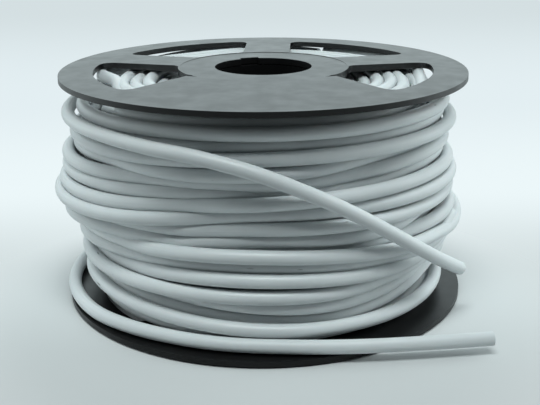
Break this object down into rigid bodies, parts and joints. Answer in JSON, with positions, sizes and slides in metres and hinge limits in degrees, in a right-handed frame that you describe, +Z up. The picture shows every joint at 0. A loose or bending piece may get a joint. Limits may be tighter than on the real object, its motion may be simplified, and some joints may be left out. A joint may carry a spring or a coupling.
{
  "type": "string reel",
  "caption": "Flanged reel with a spindle bore, wound full of round white cord whose cut ends lie loose; it stores the cord and pays it out.",
  "frame": {"origin": "on the floor, under the middle of the bore", "axes": "+Z up along the reel's axis, -Y towards the side that the loose ends cross"},
  "size_m": [0.126, 0.125, 0.071],
  "materials": {
    "reel_plastic": "black moulded plastic with a soft satin shine",
    "cord_white": "smooth cool white round cord with a faint shine"
  },
  "bodies": {
    "root": {"upper_flange": "reel_plastic", "lower_flange": "reel_plastic", "drum_barrel": "reel_plastic", "bore_sleeve": "reel_plastic", "cord_inner_layers": "cord_white", "cord_outer_turns": "cord_white", "cord_upper_end": "cord_white", "cord_lower_end": "cord_white"}
  },
  "joints": []
}
